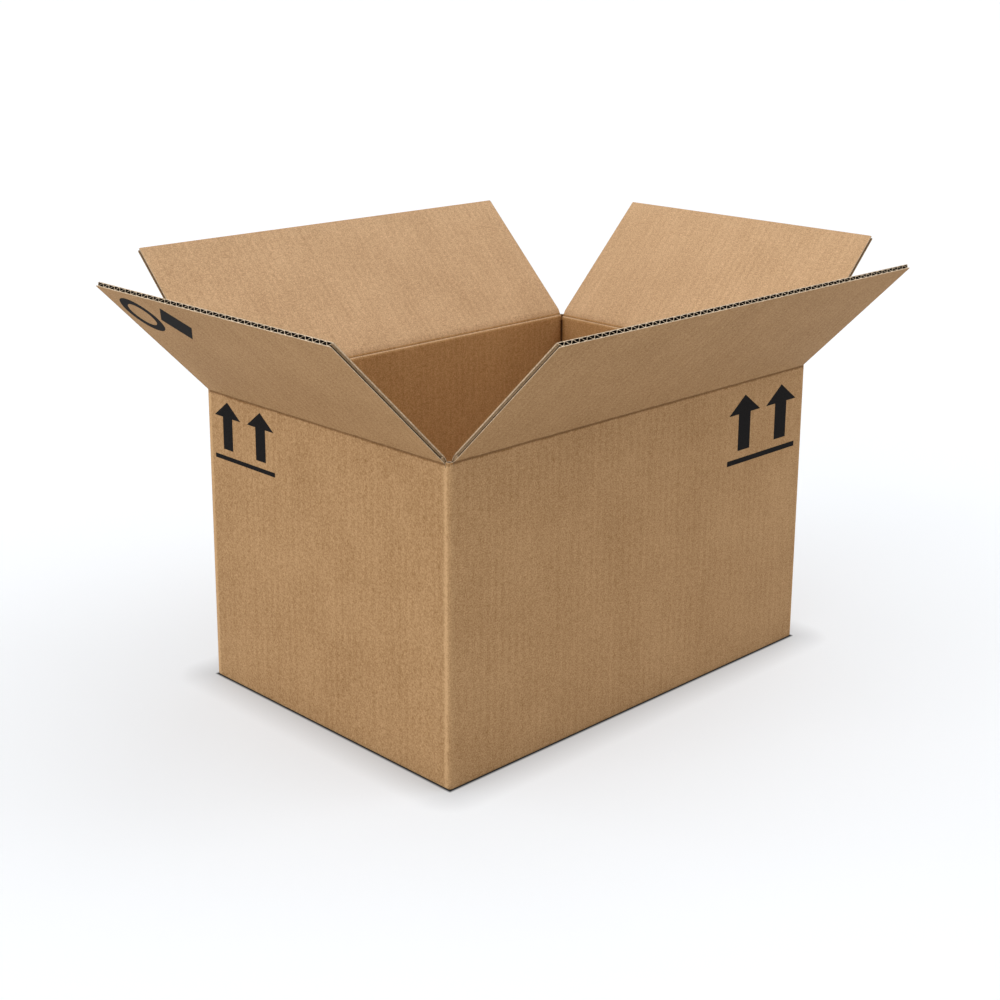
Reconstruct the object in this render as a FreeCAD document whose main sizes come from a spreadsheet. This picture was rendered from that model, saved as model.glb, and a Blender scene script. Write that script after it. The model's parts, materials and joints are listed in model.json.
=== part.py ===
# Open shipping carton, a regular slotted case of single-wall C-flute corrugated board.
#
# One blank is folded into four walls and a double bottom, and is closed at one corner by a glued lap.
# Four flaps hang on creases round the mouth. The long pair closes over the short pair, so the long
# creases turn about the middle of the board and sit half a board higher than the short ones, which
# turn about the outer face. Every flap leans outwards, and its cut edges show the open flutes.
#
# Frame, in millimetres: origin under the middle of the bottom, X along the long walls, Z up.
# A flap is drawn upright in its own frame: X along its crease, Y from the outer face of the board
# to the inner one, Z up from the crease line. Its placement carries it to its crease and leans it out.

import FreeCAD, Part
import os
import Sketcher

SIZES = (
    ("box_length", 450.0, "outside, along the long walls"),
    ("box_width", 310.0, "outside, along the short walls"),
    ("crease_height", 267.2, "floor to the crease lines of the short flaps"),
    ("board", 4.2, "thickness of the corrugated board"),
    ("liner", 0.45, "thickness of each facing sheet"),
    ("medium", 0.4, "thickness of the fluted sheet"),
    ("flute_pitch", 7.9, "crest to crest of the fluted sheet"),
    ("flute_crest", 1.6, "flat width of a crest where it is glued to a facing"),
    ("flap_length", 151.5, "crease line to free edge, all four flaps"),
    ("open_angle", 45.0, "lean of the open flaps from upright"),
    ("fold_back", 142.0, "furthest lean that the long creases leave room for"),
    ("crease_gap", 0.15, "crease line to the crushed board on each side of it"),
    ("stack_clearance", 0.3, "closed short flaps to the long flaps on top of them"),
    ("side_clearance", 0.5, "flap sides to the inner faces of the walls beside them"),
    ("post_clearance", 0.3, "flap sides to the uncut corners of the case"),
    ("crush_band", 12.0, "crease line to where the flutes are open again"),
    ("fold_radius", 4.0, "outside of the upright folds"),
    ("bottom_radius", 2.5, "outside of the bottom folds"),
    ("bottom_flap", 151.5, "length of the bottom flaps from the wall's inner face"),
    ("end_slot", 0.8, "long bottom flaps to the short walls"),
    ("lap_width", 35.0, "glued lap inside the back left corner"),
    ("lap_margin", 3.0, "glued lap to the bottom and to the closed short flaps"),
    ("lap_taper", 8.0, "how much each end of the lap narrows towards its free edge"),
)

HALF_LENGTH = "(Sizes.box_length / 2)"
HALF_WIDTH = "(Sizes.box_width / 2)"
INNER_HALF_LENGTH = "(Sizes.box_length / 2 - Sizes.board)"
INNER_HALF_WIDTH = "(Sizes.box_width / 2 - Sizes.board)"
SIDE_INSET = "(Sizes.board + Sizes.side_clearance)"
POST = "(Sizes.board + Sizes.side_clearance - Sizes.post_clearance)"
LONG_FLAP_WIDTH = f"(Sizes.box_length - 2 * {SIDE_INSET})"
SHORT_FLAP_WIDTH = f"(Sizes.box_width - 2 * {SIDE_INSET})"
SHORT_CREASE = "Sizes.crease_height"
LONG_CREASE = "(Sizes.crease_height + Sizes.board / 2 + Sizes.stack_clearance)"
WALL_TOP = f"({LONG_CREASE} - Sizes.crease_gap)"
FOLD_BACK_BEVEL = "(Sizes.board / 2 * tan(Sizes.fold_back / 2))"

DOC = FreeCAD.newDocument("ShippingCarton")


def make_sheet():
    """Puts every driving size in the sheet: its name, its value and what it measures."""
    sheet = DOC.addObject("Spreadsheet::Sheet", "Sizes")
    for row, (alias, size, note) in enumerate(SIZES, start=1):
        sheet.set(f"A{row}", alias)
        sheet.set(f"B{row}", str(size))
        sheet.setAlias(f"B{row}", alias)
        sheet.set(f"C{row}", note)
    DOC.recompute()


def number(expression):
    """The present value of an expression in the sheet's sizes."""
    return float(DOC.Sizes.evalExpression(expression))


def draw_loop(sketch, corners):
    """Draws a closed outline whose corners are bound to expressions in the sheet's sizes."""
    first = sketch.GeometryCount
    places = [FreeCAD.Vector(number(across), number(up), 0) for across, up in corners]
    for start, end in zip(places, places[1:] + places[:1]):
        sketch.addGeometry(Part.LineSegment(start, end), False)
    for index, corner in enumerate(corners):
        line = first + index
        following = first + (index + 1) % len(corners)
        sketch.addConstraint(Sketcher.Constraint("Coincident", line, 2, following, 1))
        for kind, expression in zip(("DistanceX", "DistanceY"), corner):
            name = f"{kind}{line}"
            distance = Sketcher.Constraint(kind, -1, 1, line, 1, number(expression))
            sketch.renameConstraint(sketch.addConstraint(distance), name)
            sketch.setExpression(f"Constraints.{name}", expression)


def make_sketch(body, name, plane, loops, offset="0"):
    """Draws loops in a sketch on one of the body's own origin planes, moved along its normal."""
    sketch = body.newObject("Sketcher::SketchObject", name)
    origin_plane = next(item for item in body.Origin.OriginFeatures if item.Role == plane)
    sketch.AttachmentSupport = (origin_plane, [""])
    sketch.MapMode = "FlatFace"
    sketch.setExpression("AttachmentOffset.Base.z", offset)
    for loop in loops:
        draw_loop(sketch, loop)
    DOC.recompute()
    return sketch


def rectangle(low_x, high_x, low_y, high_y):
    """The four corners of an upright rectangle, each an expression."""
    return ((low_x, low_y), (high_x, low_y), (high_x, high_y), (low_x, high_y))


def mirrored(loop):
    """The same loop on the other side of the sketch's upright axis."""
    return tuple((f"-({across})", up) for across, up in reversed(loop))


def extrude(body, kind, name, sketch, length, symmetric=False, reverse=False):
    """Adds a Pad or a Pocket of a sketch and checks that it changed the solid."""
    before = body.Shape.Volume if body.Tip else 0.0
    feature = body.newObject(f"PartDesign::{kind}", name)
    feature.Profile = sketch
    feature.setExpression("Length", length)
    feature.SideType = "Symmetric" if symmetric else "One side"
    feature.Reversed = reverse
    sketch.Visibility = False
    DOC.recompute()
    change = body.Shape.Volume - before
    if (change < 1.0) if kind == "Pad" else (change > -1.0):
        raise RuntimeError(f"{body.Label}: {name} left the solid as it was")
    return feature


def round_edges(body, name, base, radius, chosen):
    """Fillets the edges of the base feature that the test picks."""
    names = [f"Edge{place}" for place, edge in enumerate(base.Shape.Edges, start=1) if chosen(edge.BoundBox)]
    fillet = body.newObject("PartDesign::Fillet", name)
    fillet.Base = (base, names)
    fillet.setExpression("Radius", radius)
    DOC.recompute()
    return fillet


def build_walls(body):
    """Folds the four walls: a plain tube with rounded upright folds and rounded bottom folds."""
    outside = rectangle(f"-{HALF_LENGTH}", HALF_LENGTH, f"-{HALF_WIDTH}", HALF_WIDTH)
    inside = rectangle(f"-{INNER_HALF_LENGTH}", INNER_HALF_LENGTH, f"-{INNER_HALF_WIDTH}", INNER_HALF_WIDTH)
    plan = make_sketch(body, "wall_plan", "XY_Plane", (outside, inside))
    tube = extrude(body, "Pad", "walls", plan, WALL_TOP)
    inner_length = number(INNER_HALF_LENGTH)
    inner_width = number(INNER_HALF_WIDTH)
    margin = number("Sizes.board") / 4

    def is_outside(box):
        far_x = max(abs(box.XMin), abs(box.XMax)) > inner_length + margin
        far_y = max(abs(box.YMin), abs(box.YMax)) > inner_width + margin
        return far_x or far_y

    upright = round_edges(body, "upright_folds", tube, "Sizes.fold_radius",
                          lambda box: box.ZLength > margin and is_outside(box))
    round_edges(body, "bottom_folds", upright, "Sizes.bottom_radius",
                lambda box: box.ZMax < margin and is_outside(box))


def build_mouth(body):
    """Crushes the top of the walls to a knife edge at each crease and leaves the four corners uncut."""
    over = "(Sizes.crease_height + 4 * Sizes.board)"
    out = "Sizes.board"
    short_edge = f"({SHORT_CREASE} - Sizes.crease_gap)"
    short_bevel = (
        (f"{HALF_LENGTH} + {out}", short_edge),
        (f"{HALF_LENGTH} + {out}", over),
        (f"{INNER_HALF_LENGTH} - {out}", over),
        (f"{INNER_HALF_LENGTH} - {out}", f"{short_edge} - Sizes.board"),
        (INNER_HALF_LENGTH, f"{short_edge} - Sizes.board"),
        (HALF_LENGTH, short_edge),
    )
    short_sketch = make_sketch(body, "short_crease_section", "XZ_Plane", (short_bevel, mirrored(short_bevel)))
    extrude(body, "Pocket", "short_creases", short_sketch,
            f"{SHORT_FLAP_WIDTH} + 2 * Sizes.post_clearance", symmetric=True)

    long_bevel = (
        (f"{HALF_WIDTH} + {out}", f"{WALL_TOP} - {FOLD_BACK_BEVEL}"),
        (f"{HALF_WIDTH} + {out}", over),
        (f"{INNER_HALF_WIDTH} - {out}", over),
        (f"{INNER_HALF_WIDTH} - {out}", f"{WALL_TOP} - Sizes.board / 2"),
        (INNER_HALF_WIDTH, f"{WALL_TOP} - Sizes.board / 2"),
        (f"{HALF_WIDTH} - Sizes.board / 2", WALL_TOP),
        (HALF_WIDTH, f"{WALL_TOP} - {FOLD_BACK_BEVEL}"),
    )
    long_sketch = make_sketch(body, "long_crease_section", "YZ_Plane", (long_bevel, mirrored(long_bevel)))
    extrude(body, "Pocket", "long_creases", long_sketch,
            f"{LONG_FLAP_WIDTH} + 2 * Sizes.post_clearance", symmetric=True)

    near = rectangle(f"{HALF_LENGTH} - {POST}", f"{HALF_LENGTH} + {out}", f"{HALF_WIDTH} - {POST}",
                     f"{HALF_WIDTH} + {out}")
    far = tuple((across, f"-({up})") for across, up in reversed(near))
    corners = make_sketch(body, "corner_plan", "XY_Plane", (near, mirrored(near), far, mirrored(far)),
                          SHORT_CREASE)
    extrude(body, "Pocket", "uncut_corners", corners, "Sizes.board", reverse=True)


def build_bottom(body):
    """Closes the bottom: two long flaps that meet on the middle line, and two short flaps glued on them."""
    seam = "(Sizes.side_clearance)"
    end = f"({INNER_HALF_LENGTH} - Sizes.end_slot)"
    long_flap = rectangle(f"-{end}", end, seam, INNER_HALF_WIDTH)
    other_long_flap = rectangle(f"-{end}", end, f"-{INNER_HALF_WIDTH}", f"-{seam}")
    long_plan = make_sketch(body, "long_bottom_plan", "XY_Plane", (long_flap, other_long_flap))
    extrude(body, "Pad", "long_bottom_flaps", long_plan, "Sizes.board")

    side = f"({INNER_HALF_WIDTH} - Sizes.side_clearance)"
    short_flap = rectangle(f"{INNER_HALF_LENGTH} - Sizes.bottom_flap", INNER_HALF_LENGTH, f"-{side}", side)
    short_plan = make_sketch(body, "short_bottom_plan", "XY_Plane", (short_flap, mirrored(short_flap)),
                             "Sizes.board")
    extrude(body, "Pad", "short_bottom_flaps", short_plan, "Sizes.board")


def build_glued_lap(body):
    """Turns the end of the blank round the back left corner and glues it inside the left wall."""
    low = "(2 * Sizes.board + Sizes.lap_margin)"
    high = f"({SHORT_CREASE} - Sizes.board - Sizes.lap_margin)"
    free = f"({INNER_HALF_WIDTH} - Sizes.lap_width)"
    lap = (
        (INNER_HALF_WIDTH, low),
        (INNER_HALF_WIDTH, high),
        (free, f"{high} - Sizes.lap_taper"),
        (free, f"{low} + Sizes.lap_taper"),
    )
    outline = make_sketch(body, "lap_outline", "YZ_Plane", (lap,), f"-{INNER_HALF_LENGTH}")
    extrude(body, "Pad", "glued_lap", outline, "Sizes.board")


def build_case():
    """The folded and glued case, without its four top flaps."""
    body = DOC.addObject("PartDesign::Body", "case_body")
    build_walls(body)
    build_mouth(body)
    build_bottom(body)
    build_glued_lap(body)
    return body


def flute_loops(width):
    """The two hollows of one flute, at the near end of a flap: under a crest, and over the next one."""
    slope = "(Sizes.flute_pitch / 2 - Sizes.flute_crest)"
    rise = "(Sizes.board - 2 * Sizes.liner - Sizes.medium)"
    corner_loss = f"(Sizes.medium / 2 * tan(atan({rise} / {slope}) / 2))"
    narrow = f"(Sizes.flute_crest / 2 - {corner_loss})"
    wide = f"({narrow} + {slope})"
    quarter = f"({width} / {flute_count(width)} / 4)"
    loops = []
    for centre, wide_face, narrow_face in (
        (f"(-{width} / 2 + {quarter})", "Sizes.liner", "(Sizes.board - Sizes.liner - Sizes.medium)"),
        (f"(-{width} / 2 - {quarter})", "(Sizes.board - Sizes.liner)", "(Sizes.liner + Sizes.medium)"),
    ):
        loops.append((
            (f"{centre} - {wide}", wide_face),
            (f"{centre} + {wide}", wide_face),
            (f"{centre} + {narrow}", narrow_face),
            (f"{centre} - {narrow}", narrow_face),
        ))
    return loops


def flute_count(width):
    """How many whole flutes a flap of this width shows."""
    return f"round({width} / Sizes.flute_pitch)"


def build_flap(label, width, inset, section, place, turn):
    """One flap: its side section padded along the crease, then the flutes cut down from the free edge.

    The inset is how deep its crease line lies under the outer face, and the turn is about the upright.
    """
    body = DOC.addObject("PartDesign::Body", label)
    profile = make_sketch(body, f"{label}_section", "YZ_Plane", (section,))
    extrude(body, "Pad", f"{label}_board", profile, width, symmetric=True)

    loops = [[(across, f"{up} - {inset}") for across, up in loop] for loop in flute_loops(width)]
    hollows = make_sketch(body, f"{label}_flute_section", "XY_Plane", loops, "Sizes.flap_length")
    flute = extrude(body, "Pocket", f"{label}_flute", hollows, "Sizes.flap_length - Sizes.crush_band")

    row = body.newObject("PartDesign::LinearPattern", f"{label}_flutes")
    row.Originals = [flute]
    row.Direction = (hollows, ["H_Axis"])
    row.setExpression("Length", width)
    row.setExpression("Occurrences", f"{flute_count(width)} + 1")
    body.Tip = row
    body.setExpression("Placement", f"placement(vector({place}); rotation({turn}; 0; Sizes.open_angle))")
    DOC.recompute()
    return body


def build_flaps():
    """The four top flaps, the long pair over the short pair when they are closed."""
    root = "Sizes.crease_gap"
    short_section = (
        ("0", root),
        ("Sizes.board", f"{root} + Sizes.board"),
        ("Sizes.board", "Sizes.flap_length"),
        ("0", "Sizes.flap_length"),
    )
    half = "Sizes.board / 2"
    long_section = (
        ("0", root),
        (half, f"{root} + {half}"),
        (half, "Sizes.flap_length"),
        (f"-{half}", "Sizes.flap_length"),
        (f"-{half}", f"{root} + {FOLD_BACK_BEVEL}"),
    )
    long_line = f"({HALF_WIDTH} - Sizes.board / 2)"
    return [
        build_flap("front_flap", LONG_FLAP_WIDTH, half, long_section, f"0; -{long_line}; {LONG_CREASE}", 0),
        build_flap("back_flap", LONG_FLAP_WIDTH, half, long_section, f"0; {long_line}; {LONG_CREASE}", 180),
        build_flap("right_flap", SHORT_FLAP_WIDTH, "0", short_section, f"{HALF_LENGTH}; 0; {SHORT_CREASE}", 90),
        build_flap("left_flap", SHORT_FLAP_WIDTH, "0", short_section, f"-{HALF_LENGTH}; 0; {SHORT_CREASE}", 270),
    ]


def check(bodies):
    """Stops if a feature failed, or if a sub-part is not one valid solid."""
    for item in DOC.Objects:
        if any(state in ("Invalid", "Error") for state in item.State):
            raise RuntimeError(f"{item.Label} failed: {item.State}")
    for body in bodies:
        shape = body.Shape
        if shape.isNull() or not shape.isValid() or len(shape.Solids) != 1:
            raise RuntimeError(f"{body.Label} is not one valid solid")


def write(bodies):
    """Writes each sub-part to its own file, named by its label."""
    os.makedirs("parts", exist_ok=True)
    for body in bodies:
        body.Shape.exportStep(f"parts/{body.Label}.step")
        box = body.Shape.BoundBox
        print(f"{body.Label}: {body.Shape.Volume / 1000:.1f} cm3, {len(body.Shape.Faces)} faces,"
              f" x {box.XMin:.1f} to {box.XMax:.1f}, y {box.YMin:.1f} to {box.YMax:.1f},"
              f" z {box.ZMin:.1f} to {box.ZMax:.1f}")


make_sheet()
BODIES = [build_case()] + build_flaps()
DOC.recompute()
check(BODIES)
write(BODIES)
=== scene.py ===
"""Looks of an open shipping carton of single-wall corrugated board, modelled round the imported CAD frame.

Lengths are in metres. Places are in the frame of the CAD part: origin under the middle of the bottom, X along
the long walls, Y from the front long wall to the back one, Z up through the open mouth.

A board is drawn upright in its own frame: X along its crease, Y from the outer liner to the inner one and Z
up from the crease. Its placement then carries it to its place on the carton.
"""

import json
import logging
import math
from contextlib import contextmanager
from dataclasses import dataclass, field
from enum import Enum
from typing import Callable, Iterator, Sequence

import bmesh
import bpy
from mathutils import Matrix, Vector

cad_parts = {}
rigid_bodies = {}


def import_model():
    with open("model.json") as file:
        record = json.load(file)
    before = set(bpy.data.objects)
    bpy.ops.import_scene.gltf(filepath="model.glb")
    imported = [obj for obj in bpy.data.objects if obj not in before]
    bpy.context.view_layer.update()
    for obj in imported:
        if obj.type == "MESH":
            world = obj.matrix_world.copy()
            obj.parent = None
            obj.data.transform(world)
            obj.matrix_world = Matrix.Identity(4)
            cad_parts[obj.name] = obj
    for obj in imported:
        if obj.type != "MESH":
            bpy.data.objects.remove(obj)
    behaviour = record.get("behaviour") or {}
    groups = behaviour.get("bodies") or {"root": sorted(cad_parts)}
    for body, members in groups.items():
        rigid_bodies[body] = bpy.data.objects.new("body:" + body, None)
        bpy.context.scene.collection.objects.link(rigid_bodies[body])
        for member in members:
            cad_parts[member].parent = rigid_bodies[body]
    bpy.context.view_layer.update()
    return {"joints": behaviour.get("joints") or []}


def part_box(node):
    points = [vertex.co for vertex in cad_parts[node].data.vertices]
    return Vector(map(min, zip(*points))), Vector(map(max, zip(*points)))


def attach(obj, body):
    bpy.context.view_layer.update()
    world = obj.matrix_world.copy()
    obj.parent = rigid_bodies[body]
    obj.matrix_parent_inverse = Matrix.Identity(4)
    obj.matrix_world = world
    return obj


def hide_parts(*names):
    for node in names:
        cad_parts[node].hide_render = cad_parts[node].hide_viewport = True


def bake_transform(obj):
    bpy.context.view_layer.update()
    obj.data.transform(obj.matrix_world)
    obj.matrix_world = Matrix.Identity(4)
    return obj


LOG = logging.getLogger("carton")

MM = 0.001
X_AXIS, Y_AXIS, Z_AXIS = Vector((1, 0, 0)), Vector((0, 1, 0)), Vector((0, 0, 1))
SIGNS = (-1, 1)
TOUCH = 0.02 * MM  # how closely a vertex or a face has to lie on a place to be picked by it
ALONG = 0.9  # how much of a unit vector has to point along an axis to count as running along it

Piece = bpy.types.Object
Socket = bpy.types.NodeSocket
Tree = bpy.types.NodeTree
Material = bpy.types.Material
Colour = tuple[float, float, float]
Pair = tuple[float, float]
Inputs = dict[str | int, object]
Test = Callable[[Vector, Vector], bool]


class Part(Enum):
    """What is picked from a mesh in edit mode."""

    VERTICES = "VERT"
    EDGES = "EDGE"
    FACES = "FACE"


class Grain(Enum):
    """Which way the flutes of a board are spaced: along X on the long walls, along Y on the short ones."""

    LONG = (1.0, 0.0, 0.0)
    SHORT = (0.0, 1.0, 0.0)


class Skin(Enum):
    """The finishes that a piece of board shows, in the order of its material slots. Some are darker copies of
    a liner that paint shade.
    """

    OUTER = 0  # outer liner of the walls and the bottom
    INNER = 1  # inner liner of the flaps
    CUT = 2  # cut ends of the layers at a free edge
    HOLLOW_SHADE = 3  # the inside of the flutes, painted near black as their shade
    FLUTED = 4  # the inside of the board where light reaches it from a side
    SCORE_AND_SHADE = 5  # bruised paper in a crease or a slit, darkened further as painted shade in the crease's groove and the slit
    INSIDE = 6  # inner liner of the walls and the bottom: a darker, warmer copy of the flaps' inner liner, painted shade inside the case
    SIDE = 7  # cut ends of the layers at a flap's side
    FLAP = 8  # outer liner of the flaps: a darker copy of the walls' outer liner, painted shade on their outer faces, which face down and out


SectionPoint = tuple[float, float, Skin]


# The bench: modelling by operators


def select_only(piece: Piece) -> None:
    """Selects one piece and makes it the active one.

    Args:
        piece: The piece to work on.
    """
    for other in bpy.context.view_layer.objects:
        other.select_set(False)
    piece.select_set(True)
    bpy.context.view_layer.objects.active = piece


@contextmanager
def edit_mode(piece: Piece) -> Iterator[None]:
    """Opens a piece in edit mode with nothing selected, and closes it again.

    Args:
        piece: The piece to edit.

    Yields:
        Nothing. The piece stays in edit mode meanwhile.
    """
    select_only(piece)
    bpy.ops.object.mode_set(mode="EDIT")
    bpy.ops.mesh.select_mode(type="VERT")
    bpy.ops.mesh.select_all(action="DESELECT")
    try:
        yield
    finally:
        bpy.ops.object.mode_set(mode="OBJECT")


def pick(part: Part, test: Test) -> None:
    """Selects only the parts of the mesh in edit mode that pass a test.

    Args:
        part: Whether vertices, edges or faces are picked.
        test: Takes a vertex's place and normal, an edge's middle and way, or a face's centre and normal.
    """
    bpy.ops.mesh.select_mode(type=part.value)
    bpy.ops.mesh.select_all(action="DESELECT")
    mesh = bpy.context.edit_object.data
    shape = bmesh.from_edit_mesh(mesh)
    shape.normal_update()
    if part is Part.VERTICES:
        for vertex in shape.verts:
            vertex.select_set(test(vertex.co, vertex.normal))
    elif part is Part.EDGES:
        for edge in shape.edges:
            low, high = (vertex.co for vertex in edge.verts)
            edge.select_set(test((low + high) / 2, (high - low).normalized()))
    else:
        for face in shape.faces:
            face.select_set(test(face.calc_center_median(), face.normal))
    bmesh.update_edit_mesh(mesh)


def settle(piece: Piece) -> None:
    """Applies a piece's place, turn and scale to its mesh, which leaves its object at the origin."""
    select_only(piece)
    bpy.ops.object.transform_apply(location=True, rotation=True, scale=True)


def carry(piece: Piece, placement: Matrix) -> None:
    """Carries a piece from the frame that it is drawn in to its placement, and settles it there."""
    piece.matrix_world = placement
    settle(piece)


def face_outwards() -> None:
    """Turns every face of the closed mesh in edit mode outwards."""
    bpy.ops.mesh.select_all(action="SELECT")
    bpy.ops.mesh.normals_make_consistent(inside=False)


def raise_selected(height: float) -> None:
    """Extrudes the selected faces upwards, or downwards by a negative height."""
    bpy.ops.mesh.extrude_region_move(TRANSFORM_OT_translate={"value": (0, 0, height)})


def add_block(name: str, low: Sequence[float], high: Sequence[float]) -> Piece:
    """Adds a cube primitive at its size and place.

    Args:
        name: The name of the piece.
        low: Its lowest corner.
        high: Its highest corner.

    Returns:
        The block, as the start of a piece.
    """
    low, high = Vector(low), Vector(high)
    bpy.ops.mesh.primitive_cube_add(size=1, location=(low + high) / 2)
    piece = bpy.context.object
    piece.name = piece.data.name = name
    piece.scale = high - low
    settle(piece)
    return piece


def add_prism(name: str, outline: Sequence[Pair], start: float, length: float) -> Piece:
    """Fills a drawn outline and extrudes it along X.

    Args:
        name: The name of the piece.
        outline: The corners of the section in Y and Z, in order.
        start: Where the section stands on X.
        length: How far it is extruded.

    Returns:
        The closed prism.
    """
    bpy.ops.mesh.primitive_circle_add(vertices=len(outline), radius=1, fill_type="NGON")
    piece = bpy.context.object
    piece.name = piece.data.name = name
    for vertex, (across, up) in zip(piece.data.vertices, outline):
        vertex.co = (start, across, up)
    with edit_mode(piece):
        bpy.ops.mesh.select_all(action="SELECT")
        bpy.ops.mesh.extrude_region_move(TRANSFORM_OT_translate={"value": (length, 0, 0)})
        face_outwards()
    return piece


def apply_modifier(piece: Piece, kind: str, **settings: object) -> None:
    """Adds a modifier, sets it and applies it.

    Args:
        piece: The piece to finish.
        kind: The type of modifier.
        settings: Its properties by name.
    """
    select_only(piece)
    modifier = piece.modifiers.new(kind.title(), kind)
    for name, value in settings.items():
        setattr(modifier, name, value)
    bpy.ops.object.modifier_apply(modifier=modifier.name)


def round_smooth(piece: Piece, angle: float) -> None:
    """Shades a piece smooth where its faces meet at less than an angle in degrees."""
    select_only(piece)
    bpy.ops.object.shade_smooth_by_angle(angle=math.radians(angle))


def frame_at(origin: Sequence[float], along: Sequence[float], inward: Sequence[float]) -> Matrix:
    """The placement of a board by its crease and by the way that its inner liner faces.

    Args:
        origin: Where the middle of its outer crease line goes.
        along: Unit vector along the crease.
        inward: Unit vector from the outer liner to the inner one.

    Returns:
        The placement, whose third axis runs up the board.
    """
    along, inward = Vector(along), Vector(inward)
    turn = Matrix((along, inward, along.cross(inward))).transposed().to_4x4()
    return Matrix.Translation(Vector(origin)) @ turn


# Finishes: shader groups and materials


@dataclass
class NodeBench:
    """A node tree with short ways to add nodes and link them."""

    tree: Tree

    def add(self, kind: str, inputs: Inputs | None = None, **settings: object) -> bpy.types.Node:
        """Adds a node.

        Args:
            kind: The node's type, without the Shader Node prefix.
            inputs: Values or sockets for its inputs.
            settings: Its properties by name.

        Returns:
            The node.
        """
        node = self.tree.nodes.new(kind if kind.startswith("Node") else f"ShaderNode{kind}")
        for name, value in settings.items():
            setattr(node, name, value)
        for name, value in (inputs or {}).items():
            self.feed(node, name, value)
        return node

    def feed(self, node: bpy.types.Node, name: str | int, value: object) -> None:
        """Links a socket to an input of a node, or sets the input to a value.

        Args:
            node: The node.
            name: The input's name or index.
            value: The socket or the value.
        """
        if isinstance(value, Socket):
            self.tree.links.new(value, node.inputs[name])
        else:
            node.inputs[name].default_value = value

    def maths(self, operation: str, *values: object) -> Socket:
        """The result of a Math node, whose inputs are numbers or sockets in order."""
        return self.add("Math", dict(enumerate(values)), operation=operation).outputs[0]

    def vectors(self, operation: str, inputs: Inputs, result: str = "Vector") -> Socket:
        """A result of a Vector Math node, whose inputs are given by index or name."""
        return self.add("VectorMath", inputs, operation=operation).outputs[result]

    def ramp(self, value: Socket, low: float, high: float, start: float = 0.0, end: float = 1.0,
             way: str = "LINEAR") -> Socket:
        """Carries a value from the range low to high to the range start to end, and keeps it inside that."""
        inputs = {0: value, 1: low, 2: high, 3: start, 4: end}
        return self.add("MapRange", inputs, interpolation_type=way).outputs[0]

    def noise(self, place: Socket, size: float, detail: float = 2.0) -> Socket:
        """Noise between 0 and 1, its grains as wide as a size in metres, with some finer layers of detail."""
        node = self.add("TexNoise", {"Vector": place, "Scale": 1 / size, "Detail": detail})
        return node.outputs["Fac"]

    def centred(self, value: Socket, strength: object) -> Socket:
        """Takes one half off a value between 0 and 1 and multiplies what is left."""
        return self.maths("MULTIPLY", self.maths("SUBTRACT", value, 0.5), strength)

    def band(self, distance: Socket, width: Socket, ragged: Socket, full: float) -> Socket:
        """A mask, 1 at no distance and up to a full share of the width, then fading to a ragged edge."""
        share = self.maths("ADD", self.maths("DIVIDE", distance, width), ragged)
        return self.ramp(share, full, 1.0, 1.0, 0.0, "SMOOTHSTEP")

    def effect(self, group: Tree, place: Socket, **values: object) -> bpy.types.NodeOutputs:
        """Places a shader group in a material, with its inputs by name, and returns its outputs."""
        inputs = {"Position": place, **{name.replace("_", " "): value for name, value in values.items()}}
        return self.add("Group", inputs, node_tree=group).outputs


@dataclass
class GroupBench(NodeBench):
    """A shader group in the making, that reads a position and gives out numbers."""

    given: dict[str, Socket] = field(default_factory=dict)

    @classmethod
    def start(cls, name: str, **inputs: object) -> "GroupBench":
        """Starts a group.

        Args:
            name: The name of the group.
            inputs: The value of each input besides its position, a number or three.

        Returns:
            Its bench, with its inputs inside the group by name.
        """
        tree = bpy.data.node_groups.new(name, "ShaderNodeTree")
        for label, value in {"Position": (0, 0, 0), **inputs}.items():
            kind = "NodeSocketVector" if isinstance(value, tuple) else "NodeSocketFloat"
            socket = tree.interface.new_socket(label.replace("_", " "), in_out="INPUT", socket_type=kind)
            socket.default_value = value
        bench = cls(tree)
        bench.given = {socket.name: socket for socket in bench.add("NodeGroupInput").outputs if socket.name}
        return bench

    def give(self, **results: Socket) -> Tree:
        """Ends the group with its outputs.

        Args:
            results: Each output's value by its name.

        Returns:
            The group.
        """
        for label in results:
            self.tree.interface.new_socket(label, in_out="OUTPUT", socket_type="NodeSocketFloat")
        self.add("NodeGroupOutput", results)
        return self.tree


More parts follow.
